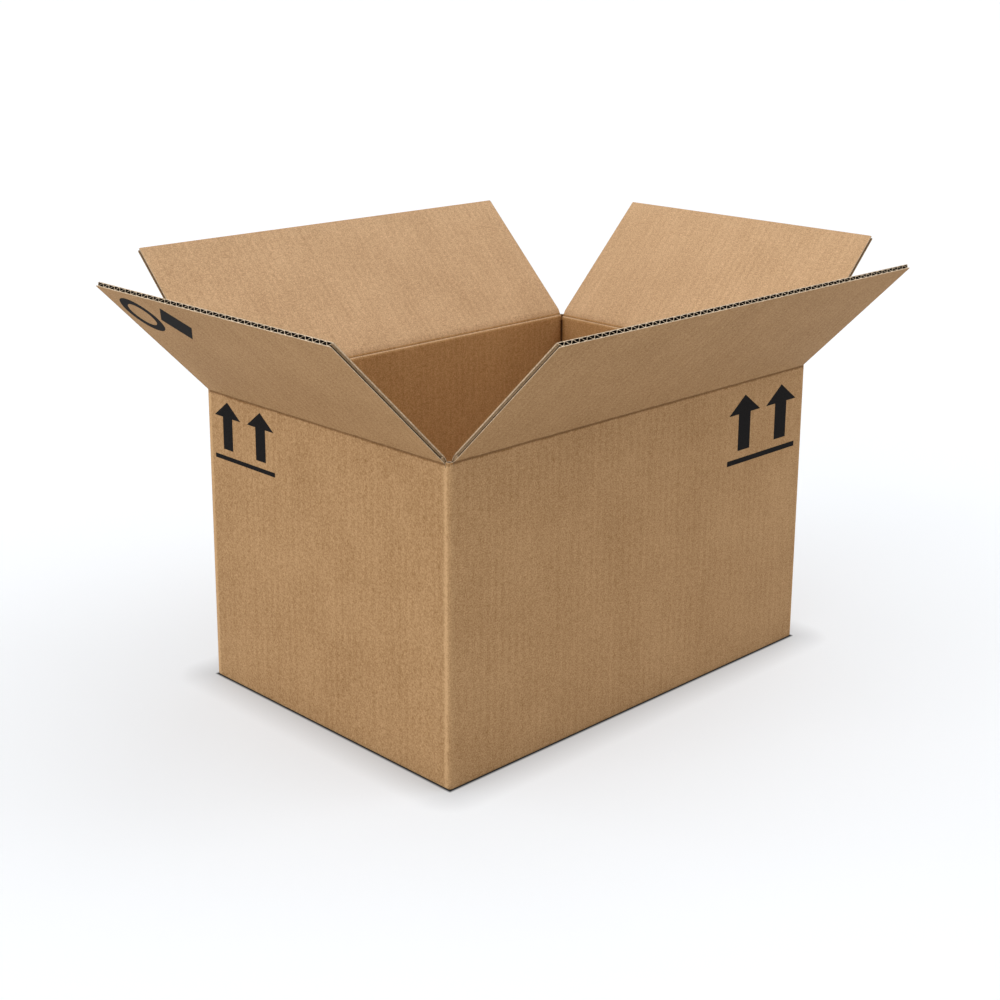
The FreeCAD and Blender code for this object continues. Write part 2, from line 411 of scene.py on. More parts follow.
def make_fibres_group() -> Tree:
    """Kraft paper: mottled fibres, streaks that run with the flutes, broad blotches and a few dark specks.

    Returns:
        The group, with a Tone even about 0 and a Height for bumps.
    """
    bench = GroupBench.start("kraft_fibres", Grain=Grain.LONG.value, Fibres=1.0, Streaks=1.0, Blotches=1.0,
                             Specks=1.0)
    given = bench.given
    place = given["Position"]
    across = bench.vectors("DOT_PRODUCT", {0: place, 1: given["Grain"]}, "Value")
    along_flutes = 0.06  # how much a streak changes along the flutes, against once across them
    flat = bench.vectors("SCALE", {0: place, "Scale": along_flutes})
    spread = bench.vectors("SCALE", {0: given["Grain"], "Scale": across})
    combed = bench.vectors("ADD", {0: flat, 1: spread})
    fine = bench.noise(place, 1.2 * MM)
    coarse = bench.noise(place, 3.4 * MM, 3.0)
    streak = bench.noise(combed, 1.3 * MM, 3.0)
    broad_streak = bench.noise(combed, 9.0 * MM)
    blotch = bench.noise(place, 55 * MM)
    speck = bench.ramp(bench.noise(place, 0.7 * MM, 1.0), 0.70, 0.78)

    fibres = bench.maths("ADD", bench.centred(fine, 1.5), bench.centred(coarse, 0.4))
    streaks = bench.maths("ADD", bench.centred(streak, 0.6), bench.centred(broad_streak, 0.5))
    tone = bench.maths("MULTIPLY", fibres, given["Fibres"])
    tone = bench.maths("MULTIPLY_ADD", streaks, given["Streaks"], tone)
    tone = bench.maths("ADD", bench.centred(blotch, given["Blotches"]), tone)
    tone = bench.maths("SUBTRACT", tone, bench.maths("MULTIPLY", speck, given["Specks"]))
    height = bench.maths("ADD", bench.maths("MULTIPLY", fine, 0.6), bench.maths("MULTIPLY", streak, 0.4))
    return bench.give(Tone=tone, Height=height)


def make_flutes_group() -> Tree:
    """The washboard that the flutes press into the liner, uneven as a real one is.

    Returns:
        The group, with Ridges even about 0.
    """
    bench = GroupBench.start("flute_washboard", Grain=Grain.LONG.value, Pitch=0.0079)
    given = bench.given
    across = bench.vectors("DOT_PRODUCT", {0: given["Position"], 1: given["Grain"]}, "Value")
    turns = bench.maths("MULTIPLY", bench.maths("DIVIDE", across, given["Pitch"]), 2 * math.pi)
    share = bench.ramp(bench.noise(given["Position"], 38 * MM), 0.35, 0.65, 0.25)
    return bench.give(Ridges=bench.maths("MULTIPLY", bench.maths("SINE", turns), share))


def make_fold_wear_and_light_group() -> Tree:
    """The band along each upright fold, on the short wall's side of it: rubbed wear with a painted highlight
    on the outer folds, painted shade in the inner corners.

    Returns:
        The group, with a mask from 0 to 1 for the rubbed wear and the painted light.
    """
    bench = GroupBench.start("fold_wear_and_painted_light", Half_Size=(1, 1, 0), Ridge=0.0, Width=0.005)
    given = bench.given
    reach = bench.vectors("ABSOLUTE", {0: given["Position"]})
    away = bench.vectors("ABSOLUTE", {0: bench.vectors("SUBTRACT", {0: given["Half Size"], 1: reach})})
    parts = bench.add("SeparateXYZ", {0: away}).outputs
    beside = bench.maths("ABSOLUTE", bench.maths("SUBTRACT", parts["Y"], given["Ridge"]))
    ragged = bench.centred(bench.noise(given["Position"], 5 * MM, 3.0), 0.9)
    return bench.give(Wear=bench.band(bench.maths("ADD", parts["X"], beside), given["Width"], ragged, 0.0))


def make_creases_group() -> Tree:
    """The darkened line along a scored crease, swaying a little and ragged at its edges: bruised paper and
    the painted shade of the crease's groove.

    Returns:
        The group, with a Shade mask from 0 to 1.
    """
    bench = GroupBench.start("crease_shade", Level=0.0, Width=0.002)
    given = bench.given
    level = bench.add("SeparateXYZ", {0: given["Position"]}).outputs["Z"]
    sway = bench.centred(bench.noise(given["Position"], 16 * MM, 1.0), 2.0 * MM)
    away = bench.maths("ABSOLUTE", bench.maths("ADD", bench.maths("SUBTRACT", level, given["Level"]), sway))
    ragged = bench.centred(bench.noise(given["Position"], 3 * MM), 0.8)
    return bench.give(Shade=bench.band(away, given["Width"], ragged, 0.3))


@dataclass(frozen=True)
class Finish:
    """What every finish has: two tones that its pattern mixes, a relief and a shine."""

    dark: Colour
    light: Colour
    relief: float = 0.25
    relief_depth: float = 0.15 * MM
    roughness: float = 0.82
    specular: float = 0.25

    def lay_on(self, bench: NodeBench, share: Socket, height: Socket) -> None:
        """Ends a material with its colour, its bumps and its shader.

        Args:
            bench: The material's bench.
            share: How much of the light tone shows.
            height: The height of its bumps.
        """
        colour = bench.add("Mix", {"Factor": share, "A": (*self.dark, 1), "B": (*self.light, 1)},
                           data_type="RGBA", clamp_factor=True)
        bump = bench.add("Bump", {"Height": height, "Strength": self.relief, "Distance": self.relief_depth})
        shader = bench.add("BsdfPrincipled", {
            "Base Color": colour.outputs["Result"], "Normal": bump.outputs[0],
            "Roughness": self.roughness, "Specular IOR Level": self.specular})
        bench.add("OutputMaterial", {"Surface": shader.outputs[0]})


@dataclass(frozen=True)
class InkFinish(Finish):
    """Black printing ink, a little uneven where the paper's fibres show through."""

    grain: float = 0.8 * MM
    uneven: Pair = (0.3, 0.75)


@dataclass(frozen=True)
class FoldWearAndLight:
    """A lighter or darker band along the upright folds: rubbed wear with painted highlight outside, painted
    shade in the inner corners.
    """

    ridge: float  # how far from the fold it lies, on the short walls
    width: float
    strength: float  # lighter when positive
    indoors: bool = False  # along the inner corners, as painted shade, instead of the outer folds


@dataclass(frozen=True)
class KraftFinish(Finish):
    """Paper of the board: its tones and how strongly each effect shows."""

    fibres: float = 1.0
    streaks: float = 0.35
    blotches: float = 0.3
    specks: float = 0.35
    ridges: float = 0.05
    ridge_height: float = 0.8
    # bands along the upright folds: rubbed wear with painted highlight, and painted shade in the inner
    # corners
    folds: tuple[FoldWearAndLight, ...] = ()
    # how strongly the crease line is darkened: bruised paper and the painted shade of its groove
    crease: float = 0.0


INK = InkFinish((0.004, 0.0035, 0.0035), (0.014, 0.012, 0.012), relief=0.2, relief_depth=0.1 * MM,
                roughness=0.8, specular=0.08)
PAPERS = {
    Skin.OUTER: KraftFinish((0.234, 0.114, 0.035), (0.526, 0.324, 0.158), crease=0.5,
                            # beside each outer fold, rubbed wear with a painted highlight, and a painted
                            # lighter band across the rounded fold
                            folds=(FoldWearAndLight(4.3 * MM, 3.4 * MM, 0.5), FoldWearAndLight(0.0, 6 * MM, 0.22))),
    Skin.INNER: KraftFinish((0.366, 0.212, 0.098), (0.745, 0.497, 0.290)),
    Skin.CUT: KraftFinish((0.38, 0.28, 0.175), (0.84, 0.68, 0.50), fibres=1.2, ridges=0.0, roughness=0.95),
    # near black: painted shade in the flutes and in the posts' recesses
    Skin.HOLLOW_SHADE: KraftFinish((0.012, 0.007, 0.004), (0.030, 0.018, 0.010), ridges=0.0, roughness=0.95),
    Skin.FLUTED: KraftFinish((0.22, 0.145, 0.075), (0.46, 0.31, 0.18), ridges=0.0, roughness=0.9),
    # bruised paper, and painted shade in the creases' grooves and the corner slits
    Skin.SCORE_AND_SHADE: KraftFinish((0.13, 0.062, 0.022), (0.28, 0.150, 0.062), ridges=0.0, roughness=0.9),
    # a darker, warmer copy of the inner liner: painted shade inside the case
    Skin.INSIDE: KraftFinish((0.310, 0.154, 0.046), (0.625, 0.372, 0.168),
                             # painted shade in the inner corners
                             folds=(FoldWearAndLight(0.0, 7 * MM, -0.35, indoors=True),)),
    Skin.SIDE: KraftFinish((0.30, 0.21, 0.125), (0.66, 0.50, 0.34), ridges=0.0, roughness=0.95),
    # a darker copy of the outer liner: painted shade on the flaps' downward-facing outer faces
    Skin.FLAP: KraftFinish((0.212, 0.103, 0.032), (0.473, 0.290, 0.138), crease=0.5),
}


@dataclass
class Finishes:
    """Every material of the carton, made once from the shared shader groups."""

    pitch: float
    half_size: Vector
    inner_half_size: Vector
    creases: dict[Grain, float]
    crease_width: float = 2 * MM
    groups: dict[str, Tree] = field(default_factory=dict)
    made: dict[tuple[Skin, Grain], Material] = field(default_factory=dict)

    def __post_init__(self) -> None:
        """Makes the shader groups and every paper of the board, for both grains."""
        self.groups = {"fibres": make_fibres_group(), "flutes": make_flutes_group(),
                       "folds": make_fold_wear_and_light_group(), "creases": make_creases_group()}
        for skin, paper in PAPERS.items():
            for grain in Grain:
                name = f"{skin.name}_{grain.name}".lower()
                self.made[skin, grain] = self.kraft(name, paper, grain)

    def start(self, name: str) -> tuple[Material, NodeBench, Socket]:
        """Starts a material with no nodes but its coordinates.

        Args:
            name: The name of the material.

        Returns:
            The material, its bench and the place on the piece.
        """
        material = bpy.data.materials.new(name)
        material.use_nodes = True
        material.node_tree.nodes.clear()
        bench = NodeBench(material.node_tree)
        return material, bench, bench.add("TexCoord").outputs["Object"]

    def kraft(self, name: str, paper: KraftFinish, grain: Grain) -> Material:
        """Makes one paper.

        Args:
            name: The name of the material.
            paper: Its values.
            grain: Which way its streaks and flutes are spaced.

        Returns:
            The material.
        """
        material, bench, place = self.start(name)
        fibres = bench.effect(self.groups["fibres"], place, Grain=grain.value, Fibres=paper.fibres,
                              Streaks=paper.streaks, Blotches=paper.blotches, Specks=paper.specks)
        tone, height = fibres["Tone"], fibres["Height"]
        if paper.ridges:
            flutes = bench.effect(self.groups["flutes"], place, Grain=grain.value, Pitch=self.pitch)
            tone = bench.maths("MULTIPLY_ADD", flutes["Ridges"], paper.ridges, tone)
            height = bench.maths("MULTIPLY_ADD", flutes["Ridges"], paper.ridge_height, height)
        # bands along the upright folds: wear and painted highlight outside, painted shade in the inner
        # corners
        for shade in paper.folds:
            half_size = self.inner_half_size if shade.indoors else self.half_size
            folds = bench.effect(self.groups["folds"], place, Half_Size=half_size, Ridge=shade.ridge,
                                 Width=shade.width)
            tone = bench.maths("MULTIPLY_ADD", folds["Wear"], shade.strength, tone)
        # the darkened crease line: bruised paper and the painted shade of its groove
        if paper.crease:
            creases = bench.effect(self.groups["creases"], place, Level=self.creases[grain],
                                   Width=self.crease_width)
            tone = bench.maths("MULTIPLY_ADD", creases["Shade"], -paper.crease, tone)
        paper.lay_on(bench, bench.maths("ADD", tone, 0.5), height)
        return material

    def ink(self) -> Material:
        """Makes the printing ink.

        Returns:
            The material.
        """
        material, bench, place = self.start("printing_ink")
        uneven = bench.noise(place, INK.grain, 3.0)
        INK.lay_on(bench, bench.ramp(uneven, *INK.uneven), uneven)
        return material

    def dress(self, piece: Piece, grain: Grain, choose: Callable[[Vector, Vector], Skin]) -> None:
        """Gives every face of a piece its skin.

        Args:
            piece: The piece, still in the frame that it is drawn in.
            grain: Which way its flutes are spaced.
            choose: Says a face's skin by its centre and its normal.
        """
        for skin in Skin:
            piece.data.materials.append(self.made[skin, grain])
        for polygon in piece.data.polygons:
            polygon.material_index = choose(polygon.center, polygon.normal).value


# Corrugated board


@dataclass(frozen=True)
class Board:
    """Single-wall C-flute board."""

    thickness: float = 4.2 * MM
    liner: float = 0.6 * MM
    medium: float = 0.45 * MM
    pitch: float = 7.9 * MM
    crest: float = 1.3  # above 1 the crests are flattened, where they are glued
    steps: int = 12

    def wave(self, phase: float) -> float:
        """How far the fluted sheet lies above the middle of the board, at a phase from 0 to 1 of a flute."""
        reach = (self.thickness - 2 * self.liner - self.medium) / 2 + TOUCH
        return reach * max(-1.0, min(1.0, self.crest * math.cos(2 * math.pi * phase)))


@dataclass
class CorrugatedSheet:
    """A flat sheet of board, made of its two liners and the fluted sheet between them."""

    name: str
    board: Board
    finishes: Finishes
    grain: Grain
    width: float
    low: float
    high: float
    corner: float = 1.2 * MM
    taper: float = 0.0
    lit_flute: float = 0.25  # how much of the last flute the light reaches from the side
    lit_liner: float = 3 * MM  # how far in from the side it reaches on the outer liner
    # the flaps' outer side takes the shaded copy of the outer liner
    backing: Skin = Skin.FLAP
    facing: Skin = Skin.INNER

    def liner(self, name: str, depth: float, face: Skin) -> Piece:
        """One liner: a thin block whose free corners are rounded.

        Args:
            name: What the liner is called after the sheet's name.
            depth: Where its outer side lies, from the outer face of the board.
            face: The skin on its visible side.

        Returns:
            The liner.
        """
        half = self.width / 2
        open_side = half - self.lit_liner
        piece = add_block(f"{self.name}_{name}", (-half, depth, self.low),
                          (half, depth + self.board.liner, self.high))
        with edit_mode(piece):
            pick(Part.EDGES, lambda middle, way: abs(way.y) > ALONG and middle.z > self.high - TOUCH)
            bpy.ops.mesh.bevel(offset=self.corner, segments=3, affect="EDGES")
            for sign in SIGNS:
                bpy.ops.mesh.select_all(action="SELECT")
                bpy.ops.mesh.bisect(plane_co=(sign * open_side, 0, 0), plane_no=X_AXIS)
        self.cut_taper(piece)
        outward = -1 if depth < self.board.thickness / 2 else 1

        def choose(centre: Vector, normal: Vector) -> Skin:
            """Chooses the skin of a face of the liner.

            Args:
                centre: The face's centre.
                normal: The face's normal.

            Returns:
                The skin.
            """
            if abs(normal.y) < 0.5:
                return Skin.CUT if abs(normal.z) > 0.5 else Skin.SIDE
            if normal.y * outward > 0:
                return face
            # the liner's inner side: lit flute paper near the sides, painted shade further in
            return Skin.FLUTED if outward < 0 and abs(centre.x) > open_side else Skin.HOLLOW_SHADE

        self.finishes.dress(piece, self.grain, choose)
        return piece

    def flutes(self) -> Piece:
        """The fluted sheet: one flute pressed into a flat grid, repeated along the board and thickened.

        Returns:
            The fluted sheet.
        """
        steps = self.board.steps
        count = round(self.width / self.board.pitch)
        pitch = self.width / count
        height = self.high - self.low
        middle = (pitch / 2 - self.width / 2, self.board.thickness / 2, self.low + height / 2)
        bpy.ops.mesh.primitive_grid_add(x_subdivisions=steps, y_subdivisions=1, size=1, location=middle,
                                        rotation=(math.pi / 2, 0, 0))
        piece = bpy.context.object
        piece.name = piece.data.name = f"{self.name}_flutes"
        piece.scale = (pitch, height, 1)
        settle(piece)
        with edit_mode(piece):
            for step in range(steps + 1):
                column = step / steps * pitch - self.width / 2
                pick(Part.VERTICES, lambda place, _, column=column: abs(place.x - column) < TOUCH)
                bpy.ops.transform.translate(value=(0, self.board.wave(step / steps), 0))
        apply_modifier(piece, "ARRAY", count=count, use_relative_offset=False, use_constant_offset=True,
                       constant_offset_displace=(pitch, 0, 0), use_merge_vertices=True,
                       merge_threshold=TOUCH)
        apply_modifier(piece, "SOLIDIFY", thickness=self.board.medium, offset=0.0)
        self.cut_taper(piece)
        open_side = self.width / 2 - self.lit_flute * pitch

        def choose(centre: Vector, normal: Vector) -> Skin:
            """Chooses the skin of a face of the fluted sheet.

            Args:
                centre: The face's centre.
                normal: The face's normal.

            Returns:
                The skin.
            """
            if abs(normal.z) > 0.5:
                return Skin.CUT
            if abs(normal.x) > 0.99:
                return Skin.SIDE
            # lit flute paper near the sides, painted shade further in
            return Skin.FLUTED if abs(centre.x) > open_side else Skin.HOLLOW_SHADE

        self.finishes.dress(piece, self.grain, choose)
        round_smooth(piece, angle=50)
        return piece

    def cut_taper(self, piece: Piece) -> None:
        """Narrows a layer towards its far side, as the two ends of a glued lap are cut.

        Args:
            piece: The layer.
        """
        if not self.taper:
            return
        middle = (self.low + self.high) / 2
        for vertex in piece.data.vertices:
            share = vertex.co.x / self.width + 0.5
            vertex.co.z += math.copysign(self.taper * share, middle - vertex.co.z)

    def build(self, place: Matrix) -> list[Piece]:
        """Builds the three layers and carries them to their place.

        Args:
            place: The sheet's placement.

        Returns:
            The outer liner, the fluted sheet and the inner liner.
        """
        layers = [
            self.liner("outer_liner", 0.0, self.backing),
            self.flutes(),
            self.liner("inner_liner", self.board.thickness - self.board.liner, self.facing),
        ]
        for layer in layers:
            carry(layer, place)
        return layers


# The case


@dataclass(frozen=True)
class Plan:
    """The sizes of the carton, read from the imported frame."""

    half_length: float
    half_width: float
    short_crease: float
    long_crease: float
    lean: float
    board: Board

    @classmethod
    def read(cls, joints: Sequence[dict], board: Board) -> "Plan":
        """Reads the plan from the CAD case and its joints.

        Args:
            joints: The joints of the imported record.
            board: The board that the carton is made of.

        Returns:
            The plan.
        """
        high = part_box("case_body")[1]
        places = {joint["name"]: Vector(joint["pos_m"]) for joint in joints}
        flap_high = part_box("right_flap")[1]
        short = places["right_crease"]
        rise = flap_high.z - short.z - board.thickness * math.sqrt(0.5)
        lean = math.atan2(flap_high.x - short.x, rise)
        inset = high.y - abs(places["front_crease"].y)
        long = places["front_crease"].z - inset * math.tan(lean / 2)
        return cls(high.x, high.y, short.z, long, lean, board)

    @property
    def inner_length(self) -> float:
        """Half the inside length."""
        return self.half_length - self.board.thickness

    @property
    def inner_width(self) -> float:
        """Half the inside width."""
        return self.half_width - self.board.thickness


@dataclass
class CaseWalls:
    """The four walls: a folded tube of board, open at both ends, with uncut corners at the mouth."""

    plan: Plan
    finishes: Finishes
    fold_radius: float = 3.2 * MM
    bottom_radius: float = 2.0 * MM
    slit: float = 1.5 * MM  # how far a fold's inner corner is cut out, both ways
    slit_cap: float = 1.0 * MM  # what is left above it
    below_crease: float = 2.6 * MM
    post_rise: float = 1.9 * MM  # the uncut corners stand above the short creases
    post_recess: float = 1.4 * MM  # how deep they are hollow between the liners

    @property
    def top(self) -> float:
        """Where the short walls end, under the crease strips."""
        return self.plan.short_crease - self.below_crease

    def fold_tube(self) -> Piece:
        """Rounds a block's upright and bottom folds and cuts the inside out of it.

        Returns:
            The tube, level at the top.
        """
        plan = self.plan
        thick = plan.board.thickness
        tube = add_block("case_walls", (-plan.half_length, -plan.half_width, 0),
                         (plan.half_length, plan.half_width, self.top))
        with edit_mode(tube):
            pick(Part.EDGES, lambda middle, way: abs(way.z) > ALONG)
            bpy.ops.mesh.bevel(offset=self.fold_radius, segments=6, affect="EDGES")
            pick(Part.EDGES, lambda middle, way: middle.z < TOUCH)
            bpy.ops.mesh.bevel(offset=self.bottom_radius, segments=4, affect="EDGES")
        cutters = [add_block("case_inside", (-plan.inner_length, -plan.inner_width, -thick),
                             (plan.inner_length, plan.inner_width, self.top + thick))]
        reach = Vector((self.slit, self.slit, 0))
        for side_x in SIGNS:
            for side_y in SIGNS:
                corner = Vector((side_x * plan.inner_length, side_y * plan.inner_width, 0))
                cutters.append(add_block("corner_slit", corner - reach - thick * Z_AXIS,
                                         corner + reach + (self.top - self.slit_cap) * Z_AXIS))
        for cutter in cutters:
            apply_modifier(tube, "BOOLEAN", object=cutter, operation="DIFFERENCE", solver="EXACT")
            bpy.data.objects.remove(cutter)
        return tube

    def raise_mouth(self, tube: Piece) -> None:
        """Raises the long walls and the four corners from the level top.

        Args:
            tube: The folded tube.
        """
        plan = self.plan
        long_side, short_side = plan.inner_length, plan.inner_width

        def is_top(centre: Vector, normal: Vector) -> bool:
            """Whether a face is part of the level top."""
            return normal.z > ALONG and centre.z > self.top - TOUCH

        def is_corner(centre: Vector, normal: Vector) -> bool:
            """Whether a face is the top of an uncut corner."""
            return is_top(centre, normal) and abs(centre.x) > long_side and abs(centre.y) > short_side

        def is_long_wall(centre: Vector, normal: Vector) -> bool:
            """Whether a face is the top of a long wall."""
            return is_top(centre, normal) and abs(centre.y) > short_side and not is_corner(centre, normal)

        with edit_mode(tube):
            for side, way in ((long_side, X_AXIS), (short_side, Y_AXIS)):
                for sign in SIGNS:
                    pick(Part.FACES, is_top)
                    bpy.ops.mesh.bisect(plane_co=way * side * sign, plane_no=way)
            pick(Part.FACES, is_long_wall)
            raise_selected(plan.long_crease - plan.short_crease)
            pick(Part.FACES, is_corner)
            raise_selected(self.below_crease + self.post_rise)
            bpy.ops.mesh.inset(thickness=plan.board.liner, depth=0, use_even_offset=True)
            raise_selected(-self.post_recess)
            bpy.ops.mesh.select_all(action="SELECT")
            bpy.ops.mesh.remove_doubles(threshold=TOUCH / 2)

    def skin(self, centre: Vector, normal: Vector) -> Skin:
        """The skin of a face of the walls.

        Args:
            centre: Its centre.
            normal: Its normal.

        Returns:
            Its skin.
        """
        plan = self.plan
        if centre.z > self.top - TOUCH and abs(normal.z) > 0.5:
            # the posts' recesses are painted near black as shade
            under_rim = plan.short_crease + self.post_rise - centre.z
            in_recess = 0.5 * self.post_recess < under_rim < 1.1 * self.post_recess
            return Skin.HOLLOW_SHADE if in_recess else Skin.CUT
        # the walls' inside takes the shaded copy of the inner liner
        if abs(centre.x) < plan.inner_length + TOUCH and abs(centre.y) < plan.inner_width + TOUCH:
            return Skin.INSIDE
        # the corner slits are painted dark as shade
        in_slit = abs(centre.x) < plan.half_length - MM and abs(centre.y) < plan.half_width - MM
        return Skin.SCORE_AND_SHADE if in_slit else Skin.OUTER

    def build(self) -> Piece:
        """Builds and dresses the walls.

        Returns:
            The walls.
        """
        tube = self.fold_tube()
        self.raise_mouth(tube)
        self.finishes.dress(tube, Grain.LONG, self.skin)
        short_slots = len(tube.data.materials)
        for skin in Skin:
            tube.data.materials.append(self.finishes.made[skin, Grain.SHORT])
        for polygon in tube.data.polygons:
            if abs(polygon.normal.x) > abs(polygon.normal.y):
                polygon.material_index += short_slots
        round_smooth(tube, angle=30)
        return tube


@dataclass
class CaseBottom:
    """The closed bottom and the glued lap, each a sheet of board."""

    plan: Plan
    finishes: Finishes
    flap: float = 151.5 * MM
    seam: float = 0.5 * MM
    end_slot: float = 0.8 * MM
    side_gap: float = 0.5 * MM
    lap_width: float = 35 * MM
    lap_margin: float = 3 * MM
    lap_taper: float = 8 * MM

    def build(self) -> list[Piece]:
        """Builds two long flaps, two short ones on top of them, and the lap.

        Returns:
            The layers of all five sheets.
        """
        plan = self.plan
        length, width, thick = plan.inner_length, plan.inner_width, plan.board.thickness
        long_width = 2 * (length - self.end_slot)
        short_width = 2 * (width - self.side_gap)
        layers = []
        for name, sign in (("front_bottom", -1), ("back_bottom", 1)):
            place = frame_at((0, sign * width, 0), (sign, 0, 0), Z_AXIS)
            layers += self.lay(name, Grain.LONG, long_width, (0.0, width - self.seam), place)
        for name, sign in (("left_bottom", -1), ("right_bottom", 1)):
            place = frame_at((sign * length, 0, thick), (0, -sign, 0), Z_AXIS)
            layers += self.lay(name, Grain.SHORT, short_width, (0.0, self.flap), place)
        heights = (2 * thick + self.lap_margin, plan.short_crease - thick - self.lap_margin)
        place = frame_at((-length, width - self.lap_width / 2, 0), -Y_AXIS, X_AXIS)
        return layers + self.lay("glued_lap", Grain.SHORT, self.lap_width, heights, place, self.lap_taper)

    def lay(self, name: str, grain: Grain, width: float, heights: Pair, place: Matrix,
            taper: float = 0.0) -> list[Piece]:
        """Builds one sheet of the bottom at its place.

        Args:
            name: What the sheet is called.
            grain: Which way its flutes are spaced.
            width: Its size along its crease.
            heights: Where it starts and ends, up from its crease.
            place: Where it goes.
            taper: How far its two ends are cut in at its far side.

        Returns:
            Its layers.
        """
        sheet = CorrugatedSheet(name, self.plan.board, self.finishes, grain, width, *heights, taper=taper,
                                # the bottom's inner face takes the shaded copy of the inner liner
                                backing=Skin.OUTER, facing=Skin.INSIDE)
        return sheet.build(place)


# The top flaps


@dataclass(frozen=True)
class CreaseSection:
    """The crushed board across a crease, in Y and Z from the outer crease line, the flap leaning out."""

    board: Board
    lean: float
    down: float
    up: float = 6 * MM
    bend_end: float = 4.8 * MM
    pinch: float = 0.9 * MM
    pinch_foot: Pair = (0.15 * MM, 0.6 * MM)
    # up the flap, and the share of the thickness that is left there
    swell: tuple[Pair, ...] = ((4.8 * MM, 0.98), (3.2 * MM, 0.92), (1.6 * MM, 0.81))
    # the notch's deepest face is painted dark: bruised paper and the painted shade of the groove
    notch: tuple[SectionPoint, ...] = (
        (0.3 * MM, 0.69, Skin.INSIDE), (-0.5 * MM, 0.60, Skin.INSIDE), (-0.9 * MM, 0.56, Skin.SCORE_AND_SHADE))
    # the share of the thickness into the wall, and the height above the crease line
    shoulder: tuple[SectionPoint, ...] = (
        (0.60, 0.55 * MM, Skin.INNER), (0.74, 0.25 * MM, Skin.INNER), (0.88, -0.45 * MM, Skin.INSIDE),
        (0.97, -1.4 * MM, Skin.INSIDE))

    def on_flap(self, up: float, depth: float) -> Pair:
        """A point of the flap in Y and Z, by its distance up the outer face and its depth under it."""
        sine, cosine = math.sin(self.lean), math.cos(self.lean)
        return (-up * sine + depth * cosine, up * cosine + depth * sine)

    def outline(self) -> list[SectionPoint]:
        """The corners of the section, each with the skin of the face that follows it.

        Returns:
            The corners, up the outer side and down the inner one.
        """
        thick = self.board.thickness
        outer = [
            (0.0, -self.down, Skin.OUTER),
            # the crease line is painted dark: bruised paper and the painted shade of its groove
            (0.0, -self.pinch, Skin.SCORE_AND_SHADE),
            (*self.on_flap(*self.pinch_foot), Skin.SCORE_AND_SHADE),
            # the flap's outer face takes the shaded copy of the outer liner
            (*self.on_flap(self.pinch, 0.0), Skin.FLAP),
            (*self.on_flap(self.up, 0.0), Skin.CUT),
        ]
        swell = ((self.up, 1.0), *self.swell)
        inner = [(*self.on_flap(up, share * thick), Skin.INNER) for up, share in swell]
        # the notch and the lower shoulder take the shaded copy of the inner liner, painted shade
        inner += [(*self.on_flap(up, share * thick), skin) for up, share, skin in self.notch]
        inner += [(share * thick, height, skin) for share, height, skin in self.shoulder]
        return outer + inner + [(thick, -self.down, Skin.CUT)]


